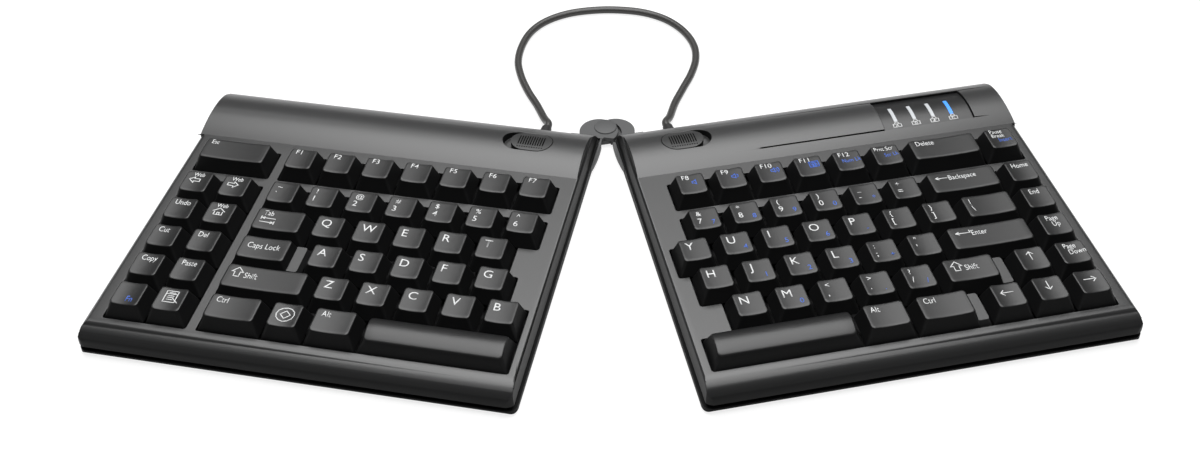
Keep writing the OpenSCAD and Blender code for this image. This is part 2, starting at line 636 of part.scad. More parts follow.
module right_slider_spring() { color("#b8bcc2") right_place() slider_spring(); }
module right_rubber_feet() { color("#151515") right_place() rubber_feet(); }
module right_case_screws() { color("#8d9096") right_place() case_screws(); }
module right_cable_grommet() { color("#2a2a2c") right_place() strain_relief(); }
module host_cable_gland() { color("#2a2a2c") right_place() gland(); }
module status_window() {
    color("#26282b") right_place() difference() {
        intersection() {
            window_box(-0.1, deck_z - 3);
            drum(hump_r - window_sink, 0, case_w);
        }
        drum(hump_r - window_sink - panel_t, 0, case_w);
        pipe_slots(0.05);
    }
}
module status_light_pipes() {
    color("#cfd6dc") right_place() intersection() {
        pipe_slots(0);
        drum(hump_r - window_sink + 0.05, 0, case_w);
    }
}
module tether_left_arm() { color("#4c4d4f") left_place() tether_arm(true); }
module tether_right_arm() { color("#4c4d4f") right_place() tether_arm(false); }
module tether_pivot_pin() { color("#8d9096") right_place() pivot_pin(); }
module link_cable() {
    color("#2f2f30") translate([0, pivot_y, 0]) swept_tube(cable_path(), cable_r, cable_sides);
}
module esc_key() { color("#35363a") left_place() keys(K_ESC); }
module left_function_keys() { color("#35363a") left_place() keys(K_LFUN); }
module hot_keys() { color("#35363a") left_place() keys(K_HOT); }
module left_number_keys() { color("#35363a") left_place() keys(K_LNUM); }
module tab_key() { color("#35363a") left_place() keys(K_TAB); }
module left_upper_keys() { color("#35363a") left_place() keys(K_LUPP); }
module caps_lock_key() { color("#35363a") left_place() keys(K_CAPS); }
module left_home_keys() { color("#35363a") left_place() keys(K_LHOM); }
module left_shift_key() { color("#35363a") left_place() keys(K_LSHF); }
module left_lower_keys() { color("#35363a") left_place() keys(K_LLOW); }
module left_ctrl_key() { color("#35363a") left_place() keys(K_LCTL); }
module system_key() { color("#35363a") left_place() keys(K_SUP); }
module left_alt_key() { color("#35363a") left_place() keys(K_LALT); }
module left_space_bar() { color("#35363a") left_place() keys(K_LSPC); }
module right_function_keys() { color("#35363a") right_place() keys(K_RFUN); }
module delete_key() { color("#35363a") right_place() keys(K_DEL); }
module right_number_keys() { color("#35363a") right_place() keys(K_RNUM); }
module backspace_key() { color("#35363a") right_place() keys(K_BACK); }
module navigation_keys() { color("#35363a") right_place() keys(K_NAV); }
module right_upper_keys() { color("#35363a") right_place() keys(K_RUPP); }
module backslash_key() { color("#35363a") right_place() keys(K_BSL); }
module right_home_keys() { color("#35363a") right_place() keys(K_RHOM); }
module enter_key() { color("#35363a") right_place() keys(K_ENT); }
module right_lower_keys() { color("#35363a") right_place() keys(K_RLOW); }
module right_shift_key() { color("#35363a") right_place() keys(K_RSHF); }
module arrow_keys() { color("#35363a") right_place() keys(K_ARR); }
module right_space_bar() { color("#35363a") right_place() keys(K_RSPC); }
module right_alt_key() { color("#35363a") right_place() keys(K_RALT); }
module right_ctrl_key() { color("#35363a") right_place() keys(K_RCTL); }

left_top_cover();
left_bottom_case();
left_key_frame();
left_dome_sheet();
left_membrane();
left_backing_plate();
left_connector_board();
left_release_slider();
left_slider_spring();
left_rubber_feet();
left_case_screws();
left_cable_grommet();
right_top_cover();
right_bottom_case();
right_key_frame();
right_dome_sheet();
right_membrane();
right_backing_plate();
right_controller_board();
right_release_slider();
right_slider_spring();
right_rubber_feet();
right_case_screws();
right_cable_grommet();
host_cable_gland();
status_window();
status_light_pipes();
tether_left_arm();
tether_right_arm();
tether_pivot_pin();
link_cable();
esc_key();
left_function_keys();
hot_keys();
left_number_keys();
tab_key();
left_upper_keys();
caps_lock_key();
left_home_keys();
left_shift_key();
left_lower_keys();
left_ctrl_key();
system_key();
left_alt_key();
left_space_bar();
right_function_keys();
delete_key();
right_number_keys();
backspace_key();
navigation_keys();
right_upper_keys();
backslash_key();
right_home_keys();
enter_key();
right_lower_keys();
right_shift_key();
arrow_keys();
right_space_bar();
right_alt_key();
right_ctrl_key();
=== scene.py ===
import json
import math

import bmesh
import bpy
import numpy as np
from mathutils import Matrix, Vector

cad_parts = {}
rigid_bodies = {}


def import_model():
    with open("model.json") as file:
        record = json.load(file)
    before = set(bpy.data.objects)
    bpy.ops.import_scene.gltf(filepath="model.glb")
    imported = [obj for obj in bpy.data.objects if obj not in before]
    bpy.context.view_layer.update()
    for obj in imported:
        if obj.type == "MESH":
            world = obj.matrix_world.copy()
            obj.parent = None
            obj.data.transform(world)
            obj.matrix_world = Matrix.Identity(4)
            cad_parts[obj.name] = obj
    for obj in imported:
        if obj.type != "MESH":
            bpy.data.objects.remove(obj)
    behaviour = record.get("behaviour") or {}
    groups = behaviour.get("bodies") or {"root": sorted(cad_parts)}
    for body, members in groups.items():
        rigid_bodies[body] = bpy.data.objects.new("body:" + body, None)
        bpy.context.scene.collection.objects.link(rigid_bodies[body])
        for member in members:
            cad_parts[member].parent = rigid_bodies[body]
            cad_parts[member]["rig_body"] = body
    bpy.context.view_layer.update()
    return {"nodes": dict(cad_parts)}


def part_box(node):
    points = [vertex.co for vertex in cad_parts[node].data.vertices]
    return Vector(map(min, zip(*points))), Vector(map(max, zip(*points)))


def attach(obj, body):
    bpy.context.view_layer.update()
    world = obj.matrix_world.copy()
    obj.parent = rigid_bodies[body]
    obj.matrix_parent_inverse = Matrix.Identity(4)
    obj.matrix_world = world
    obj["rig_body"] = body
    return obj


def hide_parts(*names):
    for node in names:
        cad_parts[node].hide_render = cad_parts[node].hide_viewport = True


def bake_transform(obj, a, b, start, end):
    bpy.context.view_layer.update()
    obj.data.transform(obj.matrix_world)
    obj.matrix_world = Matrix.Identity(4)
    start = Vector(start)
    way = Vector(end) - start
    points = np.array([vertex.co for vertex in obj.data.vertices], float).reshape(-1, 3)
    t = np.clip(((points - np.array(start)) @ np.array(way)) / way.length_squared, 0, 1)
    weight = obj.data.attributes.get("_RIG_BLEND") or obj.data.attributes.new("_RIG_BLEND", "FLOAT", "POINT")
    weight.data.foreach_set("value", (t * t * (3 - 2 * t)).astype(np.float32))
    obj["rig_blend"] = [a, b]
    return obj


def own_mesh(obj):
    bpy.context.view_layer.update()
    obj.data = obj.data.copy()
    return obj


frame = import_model()

# Camera
# It stands in front of the keyboard and looks down on both modules at about 42 degrees.
# The lens is written for a sensor 36 mm wide, and the small roll follows the photograph.
camera_place = (0.0021, -0.5453, 0.5016)
camera_turn, camera_dip, camera_roll = 0.612, 42.127, -1.144
sensor_width, focal_length = 36, 47.52
lens = bpy.data.cameras.new("desk_camera")
lens.sensor_fit, lens.sensor_width, lens.lens = "HORIZONTAL", sensor_width, focal_length
lens.clip_start, lens.clip_end = 0.01, 50
camera = bpy.data.objects.new("desk_camera", lens)
camera.matrix_world = (
    Matrix.Translation(camera_place)
    @ Matrix.Rotation(math.radians(camera_turn), 4, "Z")
    @ Matrix.Rotation(math.radians(90 - camera_dip), 4, "X")
    @ Matrix.Rotation(math.radians(camera_roll), 4, "Z")
)
bpy.context.scene.collection.objects.link(camera)
bpy.context.scene.camera = camera
bpy.context.scene.view_settings.view_transform = "Standard"

# Link cable
# A round jacketed cable, 4 mm thick, that carries the left module's keys to the right module.
# It leaves both strain reliefs level, drops to the desk and lies there in one open loop.
mm = 0.001
splay = math.radians(11.65)
half_gap, pin_back = 1.9, 9.4
pin_low, pin_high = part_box("tether_pivot_pin")
pin_y = (pin_low[1] + pin_high[1]) / 2
relief_u, relief_out, relief_z = 28.3, 5.0, 4.2
cable_radius = 2 * mm
lead_out, drop_z, desk_z = 4, 3, 2.1
desk_loop = [
    (-36, 24), (-41, 36), (-45, 49), (-47, 62), (-45.5, 76), (-41, 89), (-33, 99), (-21, 106), (-7, 109),
    (7, 109), (21, 106), (33, 99), (42, 88), (47, 75), (47.5, 62), (44.5, 49), (39.5, 36), (35, 24),
]


def lead(side, out):
    """A point of the straight lead: the strain relief's tip, moved out along its axis by `out` mm."""
    u, v = relief_u + half_gap, relief_out + out - pin_back
    x, y = math.cos(splay) * u - math.sin(splay) * v, math.sin(splay) * u + math.cos(splay) * v
    return [side * x, y, relief_z]


cable_route = [lead(-1, 0), lead(-1, lead_out), [-32, 12, drop_z]]
cable_route += [[x, y, desk_z] for x, y in desk_loop]
cable_route += [[32, 12, drop_z], lead(1, lead_out), lead(1, 0)]
cable_route = np.array(cable_route) * mm + [0, pin_y, 0]


def smooth_path(points, steps):
    """A Catmull-Rom curve through the points: each span is a cubic whose end slopes are half the chord
    between the neighbours on both sides."""
    p = np.vstack([points[:1], points, points[-1:]])
    a, b, c, d = p[:-3], p[1:-2], p[2:-1], p[3:]
    t = (np.arange(steps) / steps)[:, None, None]
    curve = 0.5 * (2 * b + (c - a) * t + (2 * a - 5 * b + 4 * c - d) * t**2 + (3 * b - a - 3 * c + d) * t**3)
    return np.vstack([curve.transpose(1, 0, 2).reshape(-1, 3), points[-1:]])


def put_mesh(name, points, faces, material, sharp=None):
    """A new object from an array of points and a list of faces, shaded smooth below `sharp` degrees."""
    mesh = bpy.data.meshes.new(name)
    mesh.from_pydata(np.asarray(points).tolist(), [], faces)
    mesh.polygons.foreach_set("use_smooth", np.ones(len(mesh.polygons), bool))
    if sharp:
        mesh.set_sharp_from_angle(angle=math.radians(sharp))
    mesh.materials.append(material)
    mesh.update()
    piece = bpy.data.objects.new(name, mesh)
    bpy.context.scene.collection.objects.link(piece)
    return piece


def ring_faces(rows, columns):
    """Quads of a grid whose columns close on themselves, row after row, as lists of indices."""
    r, c = np.meshgrid(np.arange(rows - 1), np.arange(columns), indexing="ij")
    n = (c + 1) % columns
    quads = np.stack([r * columns + c, r * columns + n, (r + 1) * columns + n, (r + 1) * columns + c], -1)
    return quads.reshape(-1, 4).tolist()


def tube(path, radius, sides):
    """A circle carried along a path: each point is the path plus the radius times the cosine on the level
    side direction, less the sine on the direction square to it and to the path. Both ends are closed."""
    along = np.gradient(path, axis=0)
    along /= np.linalg.norm(along, axis=1)[:, None]
    side = np.cross(along, [0, 0, 1])
    side /= np.linalg.norm(side, axis=1)[:, None]
    up = np.cross(side, along)
    a = np.linspace(0, 2 * np.pi, sides, endpoint=False)
    rings = path[:, None] + radius * (np.cos(a)[:, None] * side[:, None] - np.sin(a)[:, None] * up[:, None])
    last = (len(path) - 1) * sides
    caps = [list(range(sides))[::-1], [last + i for i in range(sides)]]
    return rings.reshape(-1, 3), ring_faces(len(path), sides) + caps


def node(tree, kind, inputs=None, **settings):
    """Adds a shader node, sets its properties and fills its inputs with values or links."""
    made = tree.nodes.new(kind)
    for key, value in settings.items():
        setattr(made, key, value)
    for key, value in (inputs or {}).items():
        if isinstance(value, bpy.types.NodeSocket):
            tree.links.new(value, made.inputs[key])
        else:
            made.inputs[key].default_value = value
    return made


def moulded_grain_group():
    """Fine spark-eroded texture of a moulded surface: a small noise for the grain and a broad one for the
    slow change of tone, mixed into a colour, a roughness and a bumped normal."""
    broad_scale, grain_height = 22.0, 0.00004
    group = bpy.data.node_groups.new("moulded_grain", "ShaderNodeTree")
    for name, kind, value in (
        ("Colour", "NodeSocketColor", (0.02, 0.02, 0.02, 1)),
        ("Colour Spread", "NodeSocketFloat", 0.2),
        ("Roughness", "NodeSocketFloat", 0.45),
        ("Roughness Spread", "NodeSocketFloat", 0.1),
        ("Grain Scale", "NodeSocketFloat", 5000),
        ("Grain Depth", "NodeSocketFloat", 0.2),
    ):
        group.interface.new_socket(name, in_out="INPUT", socket_type=kind).default_value = value
    group.interface.new_socket("Colour", in_out="OUTPUT", socket_type="NodeSocketColor")
    group.interface.new_socket("Roughness", in_out="OUTPUT", socket_type="NodeSocketFloat")
    group.interface.new_socket("Normal", in_out="OUTPUT", socket_type="NodeSocketVector")
    given = group.nodes.new("NodeGroupInput").outputs
    place = node(group, "ShaderNodeTexCoord").outputs["Object"]
    fine = node(group, "ShaderNodeTexNoise", {"Vector": place, "Scale": given["Grain Scale"], "Detail": 2.0})
    broad = node(group, "ShaderNodeTexNoise", {"Vector": place, "Scale": broad_scale, "Detail": 4.0})
    both = node(group, "ShaderNodeMath", {0: fine.outputs["Fac"], 1: broad.outputs["Fac"]}, operation="ADD")
    centred = node(group, "ShaderNodeMath", {0: both.outputs[0], 1: 1.0}, operation="SUBTRACT")
    tone = node(
        group,
        "ShaderNodeMath",
        {0: centred.outputs[0], 1: given["Colour Spread"], 2: 1.0},
        operation="MULTIPLY_ADD",
    )
    tinted = node(
        group, "ShaderNodeVectorMath", {0: given["Colour"], "Scale": tone.outputs[0]}, operation="SCALE"
    )
    rough = node(
        group,
        "ShaderNodeMath",
        {0: centred.outputs[0], 1: given["Roughness Spread"], 2: given["Roughness"]},
        operation="MULTIPLY_ADD",
    )
    bump = node(
        group,
        "ShaderNodeBump",
        {"Strength": given["Grain Depth"], "Distance": grain_height, "Height": fine.outputs["Fac"]},
    )
    node(
        group,
        "NodeGroupOutput",
        {"Colour": tinted.outputs[0], "Roughness": rough.outputs[0], "Normal": bump.outputs["Normal"]},
    )
    return group


moulded_grain = moulded_grain_group()
dull_below, polished_above = 0.3, 0.85


def grained(
    name, colour, roughness, spread=0.2, rough_spread=0.1, scale=5000, depth=0.2, polish=None, **sockets
):
    """A plastic, rubber or metal with the moulded grain; other keywords go to the shader's own sockets.
    `polish` gives the refractive index and roughness of a smoother skin on the faces that look up: its weight
    rises with the upward part of the normal, so steep walls stay dull."""
    material = bpy.data.materials.new(name)
    material.use_nodes = True
    tree = material.node_tree
    shader = tree.nodes["Principled BSDF"]
    grain = tree.nodes.new("ShaderNodeGroup")
    grain.node_tree = moulded_grain
    for key, value in (
        ("Colour", (*colour, 1)),
        ("Colour Spread", spread),
        ("Roughness", roughness),
        ("Roughness Spread", rough_spread),
        ("Grain Scale", scale),
        ("Grain Depth", depth),
    ):
        grain.inputs[key].default_value = value
    tree.links.new(grain.outputs["Colour"], shader.inputs["Base Color"])
    tree.links.new(grain.outputs["Roughness"], shader.inputs["Roughness"])
    tree.links.new(grain.outputs["Normal"], shader.inputs["Normal"])
    if polish:
        shader.inputs["Coat IOR"].default_value, shader.inputs["Coat Roughness"].default_value = polish
        facing = node(tree, "ShaderNodeTexCoord").outputs["Normal"]
        level = node(tree, "ShaderNodeSeparateXYZ", {"Vector": facing}).outputs["Z"]
        skin = node(
            tree,
            "ShaderNodeMapRange",
            {"Value": level, "From Min": dull_below, "From Max": polished_above},
            interpolation_type="SMOOTHSTEP",
        )
        tree.links.new(skin.outputs[0], shader.inputs["Coat Weight"])
    for key, value in sockets.items():
        shader.inputs[key.replace("_", " ")].default_value = value
    return material


cable_jacket = grained("cable_jacket", (0.045, 0.044, 0.0425), 0.34, scale=2500, depth=0.15)
cable_path = smooth_path(cable_route, 8)
link_cable = put_mesh("link_cable_jacket", *tube(cable_path, cable_radius, 24), cable_jacket, sharp=40)
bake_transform(link_cable, "left_module", "right_module", start=(-0.027, pin_y, 0), end=(0.027, pin_y, 0))
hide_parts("link_cable")

# Lower cases
# Each is a shallow tub moulded in black plastic, with a small roll along the front.
# Six screws from below hold it to the top cover, and the seam between them is a fine line.
case_black = grained(
    "case_black", (0.012, 0.0122, 0.0125), 0.55, scale=4500, depth=0.25, Specular_IOR_Level=0.08
)
case_round = 0.25
rounded_from, flat_below, merge_within = 28, 0.4, 2e-6


def welded(name, weld=merge_within):
    """A copy of a node's mesh without its shading layers, and the same open for work, with its loose
    triangles merged where their corners are closer than `weld`."""
    mesh = frame["nodes"][name].data.copy()
    for layer in [a.name for a in mesh.attributes if a.name in ("custom_normal", "sharp_edge", "sharp_face")]:
        mesh.attributes.remove(mesh.attributes[layer])
    work = bmesh.new()
    work.from_mesh(mesh)
    bmesh.ops.remove_doubles(work, verts=work.verts, dist=weld)
    return mesh, work


def put_copy(name, mesh, work, material):
    """A new object from a worked copy of a node's mesh, in one material."""
    work.to_mesh(mesh)
    work.free()
    mesh.materials.clear()
    mesh.materials.append(material)
    piece = bpy.data.objects.new(name, mesh)
    bpy.context.scene.collection.objects.link(piece)
    return piece


def moulded(name, round_to, material, sharp=rounded_from, weld=merge_within, above=None):
    """A node's own solid as a moulded piece: its triangles are welded, flat ones joined, angles below `sharp`
    degrees shaded smooth and the edges from `rounded_from` degrees up rounded to `round_to`, or where `above`
    is given only those above that height."""
    mesh, work = welded(name, weld)
    bmesh.ops.dissolve_degenerate(work, edges=work.edges, dist=weld)
    bmesh.ops.dissolve_limit(work, angle_limit=math.radians(flat_below), verts=work.verts, edges=work.edges)
    if above:
        rounding = work.edges.layers.float.new("bevel_weight_edge")
        for e in work.edges:
            angled = e.calc_face_angle() > math.radians(rounded_from)
            e[rounding] = angled and min(v.co.z for v in e.verts) > above
    piece = put_copy(name + "_moulding", mesh, work, material)
    mesh.polygons.foreach_set("use_smooth", np.ones(len(mesh.polygons), bool))
    mesh.set_sharp_from_angle(angle=math.radians(sharp))
    if round_to:
        edge = piece.modifiers.new("rounded_edges", "BEVEL")
        edge.width, edge.segments, edge.limit_method = round_to, 2, "WEIGHT" if above else "ANGLE"
        edge.angle_limit, edge.harden_normals = math.radians(rounded_from), True
        edge.use_clamp_overlap = not above
    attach(piece, frame["nodes"][name]["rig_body"])
    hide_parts(name)
    return piece


for side in ("left", "right"):
    moulded(side + "_bottom_case", case_round * mm, case_black)

# Feet, screws and inner stack
# Rubber feet sit in pockets under the case. Inside, a steel plate carries the printed film, the dome sheet
# and the frame whose barrels guide the keys; a small board stands behind them.
foot_rubber = grained("foot_rubber", (0.012, 0.012, 0.012), 0.75, scale=3000, depth=0.3)
zinc_steel = grained("zinc_steel", (0.45, 0.46, 0.47), 0.32, spread=0.1, scale=1500, depth=0.05, Metallic=1.0)
frame_black = grained("frame_black", (0.008, 0.008, 0.0085), 0.6)
printed_film = grained("printed_film", (0.4, 0.52, 0.46), 0.3, spread=0.3, scale=400, depth=0.02)
board_green = grained("board_green", (0.02, 0.09, 0.035), 0.35, spread=0.5, scale=700, depth=0.1)
inner_finish = {
    "rubber_feet": foot_rubber,
    "case_screws": zinc_steel,
    "backing_plate": zinc_steel,
    "membrane": printed_film,
    "key_frame": frame_black,
    "connector_board": board_green,
    "controller_board": board_green,
}


def finish_node(name, material):
    """Gives a carried-over node its material."""
    frame["nodes"][name].data.materials.clear()
    frame["nodes"][name].data.materials.append(material)


for side in ("left", "right"):
    for piece, material in inner_finish.items():
        if f"{side}_{piece}" in frame["nodes"]:
            finish_node(f"{side}_{piece}", material)

# Dome sheets
# One silicone sheet per module lies on the printed film, with a hollow dome under the stem of each key.
# A pressed key folds a real dome flat and the dome lifts the key again; here the domes keep their drawn
# shape.
pitch, split_column = 19.05, 7
row_v = [120.265, 95.5, 76.45, 57.4, 38.35, 19.3]
case_depth, left_in, right_in = 181.62, 8.6, 14.0125
film_top, web_top, dome_top, folded = 7.4, 7.98, 11.55, 0.15
dome_profile = [
    (1.4, 10.6), (4.05, film_top), (4.8, film_top), (4.8, 8.0), (3.1, 10.9), (2.85, 11.4), (2.5, dome_top)
]
dome_sides, crease = 20, 38
dome_silicone = grained("dome_silicone", (0.5, 0.51, 0.52), 0.5, spread=0.1, Subsurface_Weight=0.2)


def on_module(side, u, v):
    """Module places, in mm out from its inner end and back from its front, as x and y in the shared frame."""
    a, b = u + half_gap, v - case_depth - pin_back
    x, y = math.cos(splay) * a - math.sin(splay) * b, math.sin(splay) * a + math.cos(splay) * b
    return side * x * mm, pin_y + y * mm


def on_key(side, column, row, points):
    """Points drawn about a key's centre (mm, x right, y back, z up) moved to that key of a module."""
    u = side * (column - split_column) * pitch + (left_in if side < 0 else right_in)
    x, y = on_module(side, u + side * points[:, 0], row_v[row] + points[:, 1])
    return np.stack([x, y, points[:, 2] * mm], 1)


keys = {
    "esc_key": (-1, [(-1.25, 0, 2, "")]),
    "left_function_keys": (-1, [(0.5 + i, 0, 1, "") for i in range(7)]),
    "hot_keys": (-1, [(c, r, 1, "") for r in range(1, 6) for c in (-1.75, -0.75)]),
    "left_number_keys": (-1, [(0.5 + i, 1, 1, "") for i in range(7)]),
    "tab_key": (-1, [(0.75, 2, 1.5, "")]),
    "left_upper_keys": (-1, [(2 + i, 2, 1, "") for i in range(5)]),
    "caps_lock_key": (-1, [(0.875, 3, 1.75, "step")]),
    "left_home_keys": (-1, [(2.25 + i, 3, 1, "") for i in range(5)]),
    "left_shift_key": (-1, [(1.125, 4, 2.25, "")]),
    "left_lower_keys": (-1, [(2.75 + i, 4, 1, "") for i in range(5)]),
    "left_ctrl_key": (-1, [(0.75, 5, 1.5, "")]),
    "system_key": (-1, [(2, 5, 1, "")]),
    "left_alt_key": (-1, [(3.125, 5, 1.25, "")]),
    "left_space_bar": (-1, [(5.5, 5, 3.5, "bar")]),
    "right_function_keys": (1, [(7.5 + i, 0, 1, "") for i in range(6)] + [(15.5, 0, 1, "")]),
    "delete_key": (1, [(14, 0, 2, "")]),
    "right_number_keys": (1, [(7.5 + i, 1, 1, "") for i in range(6)]),
    "backspace_key": (1, [(14, 1, 2, "")]),
    "navigation_keys": (1, [(15.5, r, 1, "") for r in range(1, 5)]),
    "right_upper_keys": (1, [(7 + i, 2, 1, "") for i in range(7)]),
    "backslash_key": (1, [(14.25, 2, 1.5, "")]),
    "right_home_keys": (1, [(7.25 + i, 3, 1, "") for i in range(6)]),
    "enter_key": (1, [(13.875, 3, 2.25, "")]),
    "right_lower_keys": (1, [(7.75 + i, 4, 1, "") for i in range(5)]),
    "right_shift_key": (1, [(13.125, 4, 1.75, "step")]),
    "arrow_keys": (1, [(14.5, 4, 1, ""), (13.5, 5, 1, ""), (14.5, 5, 1, ""), (15.5, 5, 1, "")]),
    "right_space_bar": (1, [(8.25, 5, 3.5, "bar")]),
    "right_alt_key": (1, [(10.625, 5, 1.25, "")]),
    "right_ctrl_key": (1, [(12.125, 5, 1.75, "step")]),
}


def fan_ends(rows, columns):
    """Triangles that close a grid of rings: the first ring meets the point after the grid, and the last ring
    the point after that."""
    i = np.arange(columns)
    n, last = (i + 1) % columns, (rows - 1) * columns
    foot = np.stack([n, i, np.full(columns, rows * columns)], 1)
    crown = np.stack([last + i, last + n, np.full(columns, rows * columns + 1)], 1)
    return foot.tolist() + crown.tolist()


def joined(parts):
    """Pairs of points and faces as one pair: each part's indices move up by the points before it."""
    first = np.cumsum([0] + [len(points) for points, faces in parts]).tolist()
    faces = [[i + k for i in face] for k, part in zip(first, parts) for face in part[1]]
    return np.vstack([points for points, part_faces in parts]), faces


def turned(profile, sides):
    """A profile of (radius, height) rows turned about the z axis: a ring for each row, with a fan to the
    middle at the first and the last."""
    a = np.linspace(0, 2 * np.pi, sides, endpoint=False)
    radius, height = np.array(profile).T[:, :, None]
    rings = np.stack([radius * np.cos(a), radius * np.sin(a), height + 0 * a], -1)
    points = np.vstack([rings.reshape(-1, 3), [[0, 0, profile[0][1]], [0, 0, profile[-1][1]]]])
    return points, ring_faces(len(profile), sides) + fan_ends(len(profile), sides)


def dome_web(side):
    """The flat part of a dome sheet: its node's solid cut level at the web's top, with the cut closed."""
    mesh, work = welded(side + "_dome_sheet")
    whole = work.verts[:] + work.edges[:] + work.faces[:]
    level = bmesh.ops.bisect_plane(
        work, geom=whole, plane_co=(0, 0, web_top * mm), plane_no=(0, 0, 1), clear_outer=True
    )
    rim = [e for e in level["geom_cut"] if isinstance(e, bmesh.types.BMEdge)]
    bmesh.ops.triangle_fill(work, edges=rim, use_beauty=True)
    bmesh.ops.recalc_face_normals(work, faces=work.faces)
    return put_copy(side + "_dome_web", mesh, work, dome_silicone)


for side in ("left", "right"):
    web = dome_web(side)
    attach(web, side + "_module")
    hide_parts(side + "_dome_sheet")
dome, dome_faces = turned(dome_profile, dome_sides)
for name, (side, places) in keys.items():
    row_of_domes = [(on_key(side, column, row, dome), dome_faces) for column, row, units, kind in places]
    domes = put_mesh(name + "_domes", *joined(row_of_domes), dome_silicone, sharp=crease)
    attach(domes, "left_module" if side < 0 else "right_module")
    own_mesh(domes)

# Top covers
# One moulding per module in charcoal plastic with a fine matte grain: a rolled front, a flat deck
# with wells for the keys, and a rounded hump along the rear.
cover_round, cover_weld, cover_sharp, deck_from = 0.35, 0.1, 24, 13
cover_charcoal = grained(
    "cover_charcoal",
    (0.014, 0.0142, 0.0145),
    0.5,
    spread=0.12,
    depth=0.3,
    polish=(1.7, 0.4),
    Specular_IOR_Level=0.1,
)
for side in ("left", "right"):
    moulded(
        side + "_top_cover",
        cover_round * mm,
        cover_charcoal,
        sharp=cover_sharp,
        weld=cover_weld * mm,
        above=deck_from * mm,
    )

# Keycaps
# Hollow caps of black plastic with sloped sides, a dished top and small rounded edges; a stem under
# each runs in the key frame. Wide caps are flatter, space bars are crowned, and three caps have a low step.
cap_gap = 1.0
skirt_z, cap_top_z, roof_z, stem_z, step_z = 15.3, 23.0, 20.6, 11.6, 18.5
side_lean, front_lean, back_lean = 2.7, 2.75, 1.75
cap_wall, cap_corner, stem_half = 1.3, 0.9, 2.5
dish_depth, dish_rim = 0.55, 3
bar_radius, bar_crest = 12.5, 0.5
cap_depth = pitch - cap_gap
quarter = pitch / 4
cap_black = grained(
    "cap_black",
    (0.007, 0.0071, 0.0073),
    0.5,
    spread=0.15,
    scale=4200,
    depth=0.35,
    polish=(1.5, 0.36),
    Specular_IOR_Level=0.1,
)
# The step's slab is the caps' black plastic with a smoother skin; its colour is made lighter than the caps'
# as a painted sheen.
step_smooth_painted_sheen = grained(
    "step_smooth_painted_sheen", (0.018, 0.0183, 0.0187), 0.5, scale=4200, polish=(1.65, 0.42), Specular_IOR_Level=0.1
)

corner_a = np.radians(np.linspace(0, 90, 7))
edge_n, side_n = np.linspace(-1, 1, 12)[1:-1], np.linspace(-1, 1, 7)[1:-1]
turn = []
for k, (sx, sy) in enumerate(((1, 1), (-1, 1), (-1, -1), (1, -1))):
    a = corner_a + k * np.pi / 2
    turn.append(np.stack([sx + 0 * a, np.cos(a), sy + 0 * a, np.sin(a)], 1))
straight = [
    np.stack([-edge_n, 0 * edge_n, 1 + 0 * edge_n, 1 + 0 * edge_n], 1),
    np.stack([-1 + 0 * side_n, -1 + 0 * side_n, -side_n, 0 * side_n], 1),
    np.stack([edge_n, 0 * edge_n, -1 + 0 * edge_n, -1 + 0 * edge_n], 1),
    np.stack([1 + 0 * side_n, 1 + 0 * side_n, side_n, 0 * side_n], 1),
]
cap_ring = np.vstack([part for pair in zip(turn, straight) for part in pair])


def cap_rings(half_x, front, back, corner):
    """Rounded rectangles, one per row of sizes: a corner point is the corner's centre plus its radius times
    a unit arc, and the straight points slide between the corner centres."""
    half_x, front, back, corner = (np.asarray(x, float)[:, None] for x in (half_x, front, back, corner))
    half_y, middle = (back - front) / 2, (back + front) / 2
    x = cap_ring[:, 0] * (half_x - corner) + cap_ring[:, 1] * corner
    y = cap_ring[:, 2] * (half_y - corner) + cap_ring[:, 3] * corner + middle
    return x, y


def dish(x, y, width, crowned):
    """Height of a cap's top: a parabola that falls by the dish depth at the middle, or on a space bar the
    crown of a circle across its depth."""
    if crowned:
        return cap_top_z - bar_radius + np.sqrt(bar_radius**2 - (y - bar_crest) ** 2)
    return cap_top_z - dish_depth * (1 - np.clip(np.abs(x) / (width / 2 - dish_rim), 0, 1) ** 2)


